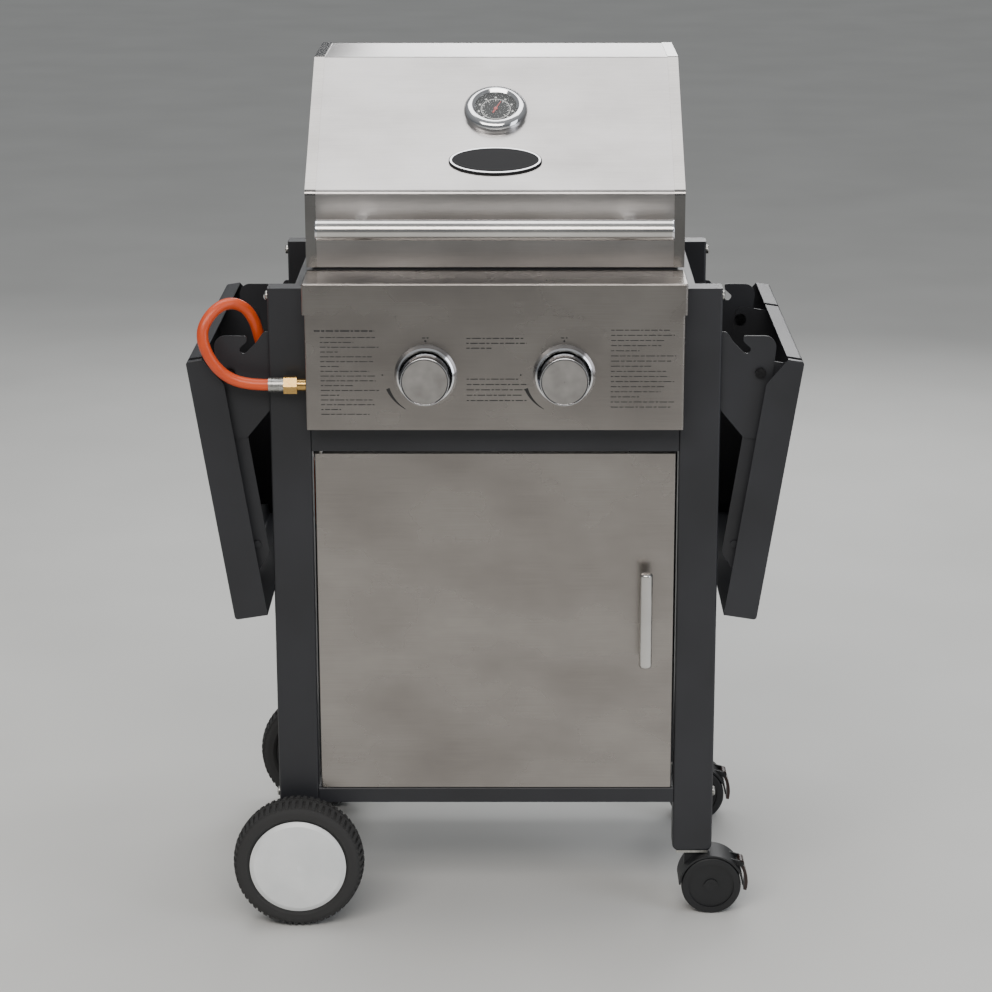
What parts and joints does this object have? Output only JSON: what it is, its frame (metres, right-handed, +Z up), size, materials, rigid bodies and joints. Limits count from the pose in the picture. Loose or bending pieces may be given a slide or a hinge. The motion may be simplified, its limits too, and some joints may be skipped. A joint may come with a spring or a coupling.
{
  "type": "gas barbecue grill",
  "caption": "Gas barbecue on a cabinet cart with a hinged stainless hood, fold-down side shelves, push-and-turn knobs, a door, wheels and casters.",
  "frame": {"origin": "on the floor under the middle of the whole grill", "axes": "+X to the right seen from the front, +Y to the back, +Z up"},
  "size_m": [0.747, 0.536, 1.059],
  "materials": {
    "stainless": "brushed",
    "satin_bar": "satin",
    "powder_coat": "semi-matt",
    "chrome_plate": "polished",
    "zinc_bolt": "zinc plated",
    "tyre_rubber": "moulded",
    "wheel_plastic": "moulded",
    "silver_plastic": "satin silver",
    "caster_plastic": "moulded",
    "brake_plastic": "moulded",
    "hose_rubber": "smooth",
    "brass": "turned",
    "cast_iron": "enamelled",
    "burner_steel": "plain",
    "gauge_glass": "clear",
    "gauge_face": "printed dial",
    "badge_enamel": "gloss",
    "regulator_grey": "painted"
  },
  "bodies": {
    "cart": {"legs_left": "powder_coat", "legs_right": "powder_coat", "cabinet_sides": "powder_coat", "bottom_shelf": "powder_coat", "crossbars": "powder_coat", "side_rails": "powder_coat", "axle": "zinc_bolt", "axle_washers": "zinc_bolt", "caster_stems": "zinc_bolt", "shelf_brackets": "powder_coat", "shelf_pivot_bolts": "zinc_bolt", "frame_bolts": "zinc_bolt", "firebox": "powder_coat", "burners": "burner_steel", "heat_plates": "burner_steel", "cooking_grates": "cast_iron", "warming_rack": "chrome_plate", "ledge": "stainless", "control_panel": "stainless", "knob_bezels": "chrome_plate", "valve_bodies": "brass", "manifold": "powder_coat", "hinges": "zinc_bolt", "hose_fitting": "brass", "hose_ferrule": "zinc_bolt", "gas_hose": "hose_rubber", "regulator": "regulator_grey"},
    "hood": {"hood_shell": "stainless", "hood_ends": "stainless", "hood_handle_tube": "satin_bar", "hood_handle_posts": "chrome_plate", "hood_handle_caps": "chrome_plate", "thermometer_housing": "chrome_plate", "thermometer_dial": "gauge_face", "thermometer_glass": "gauge_glass", "badge_plate": "badge_enamel"},
    "door": {"door": "stainless", "door_handle": "satin_bar", "door_handle_posts": "chrome_plate"},
    "wheel_front": {"tyre_front": "tyre_rubber", "rim_front": "wheel_plastic", "hubcap_front": "silver_plastic"},
    "wheel_rear": {"tyre_rear": "tyre_rubber", "rim_rear": "wheel_plastic", "hubcap_rear": "silver_plastic"},
    "caster_front": {"caster_body_front": "caster_plastic"},
    "caster_front_wheels": {"caster_wheels_front": "caster_plastic"},
    "caster_front_brake": {"caster_brake_front": "brake_plastic"},
    "caster_rear": {"caster_body_rear": "caster_plastic"},
    "caster_rear_wheels": {"caster_wheels_rear": "caster_plastic"},
    "caster_rear_brake": {"caster_brake_rear": "brake_plastic"},
    "side_shelf_left": {"shelf_left": "powder_coat", "shelf_arms_left": "powder_coat"},
    "side_shelf_right": {"shelf_right": "powder_coat", "shelf_arms_right": "powder_coat"},
    "left_stem": {"valve_stem_left": "zinc_bolt"},
    "left_knob": {"knob_left": "satin_bar"},
    "right_stem": {"valve_stem_right": "zinc_bolt"},
    "right_knob": {"knob_right": "satin_bar"},
    "tray": {"grease_tray": "burner_steel"}
  },
  "joints": [
    {"name": "hood_open", "type": "hinge", "parent": "cart", "child": "hood", "pos_m": [0, 0.202, 0.845], "axis": [-1, 0, 0], "range_deg": [0, 80]},
    {"name": "door_open", "type": "hinge", "parent": "cart", "child": "door", "pos_m": [-0.2135, -0.192, 0.389], "axis": [0, 0, -1], "range_deg": [0, 110]},
    {"name": "shelf_left_lift", "type": "hinge", "parent": "cart", "child": "side_shelf_left", "pos_m": [-0.322, 0, 0.706], "axis": [0, 1, 0], "range_deg": [0, 98.8]},
    {"name": "shelf_right_lift", "type": "hinge", "parent": "cart", "child": "side_shelf_right", "pos_m": [0.322, 0, 0.706], "axis": [0, -1, 0], "range_deg": [0, 98.8]},
    {"name": "knob_left_push", "type": "slide", "parent": "cart", "child": "left_stem", "axis": [0, 1, 0], "range_m": [0, 0.003], "stiffness_N_per_m": 800},
    {"name": "knob_left_turn", "type": "hinge", "parent": "left_stem", "child": "left_knob", "pos_m": [-0.083, -0.248, 0.713], "axis": [0, -1, 0], "range_deg": [0, 180]},
    {"name": "knob_right_push", "type": "slide", "parent": "cart", "child": "right_stem", "axis": [0, 1, 0], "range_m": [0, 0.003], "stiffness_N_per_m": 800},
    {"name": "knob_right_turn", "type": "hinge", "parent": "right_stem", "child": "right_knob", "pos_m": [0.083, -0.248, 0.713], "axis": [0, -1, 0], "range_deg": [0, 180]},
    {"name": "wheel_front_spin", "type": "hinge", "parent": "cart", "child": "wheel_front", "pos_m": [-0.249, -0.2255, 0.0825], "axis": [0, 1, 0], "continuous": true},
    {"name": "caster_front_swivel", "type": "hinge", "parent": "cart", "child": "caster_front", "pos_m": [0.249, -0.183, 0.07], "axis": [0, 0, 1], "continuous": true},
    {"name": "caster_front_roll", "type": "hinge", "parent": "caster_front", "child": "caster_front_wheels", "pos_m": [0.274, -0.183, 0.038], "axis": [0, 1, 0], "continuous": true},
    {"name": "caster_front_brake_tip", "type": "hinge", "parent": "caster_front", "child": "caster_front_brake", "pos_m": [0.31255, -0.183, 0.064], "axis": [0, -1, 0], "range_deg": [0, 20]},
    {"name": "wheel_rear_spin", "type": "hinge", "parent": "cart", "child": "wheel_rear", "pos_m": [-0.249, 0.1645, 0.0825], "axis": [0, 1, 0], "continuous": true},
    {"name": "caster_rear_swivel", "type": "hinge", "parent": "cart", "child": "caster_rear", "pos_m": [0.249, 0.122, 0.07], "axis": [0, 0, 1], "continuous": true},
    {"name": "caster_rear_roll", "type": "hinge", "parent": "caster_rear", "child": "caster_rear_wheels", "pos_m": [0.274, 0.122, 0.038], "axis": [0, 1, 0], "continuous": true},
    {"name": "caster_rear_brake_tip", "type": "hinge", "parent": "caster_rear", "child": "caster_rear_brake", "pos_m": [0.31255, 0.122, 0.064], "axis": [0, -1, 0], "range_deg": [0, 20]},
    {"name": "grease_tray_slide", "type": "slide", "parent": "cart", "child": "tray", "axis": [0, 1, 0], "range_m": [0, 0.25]}
  ]
}
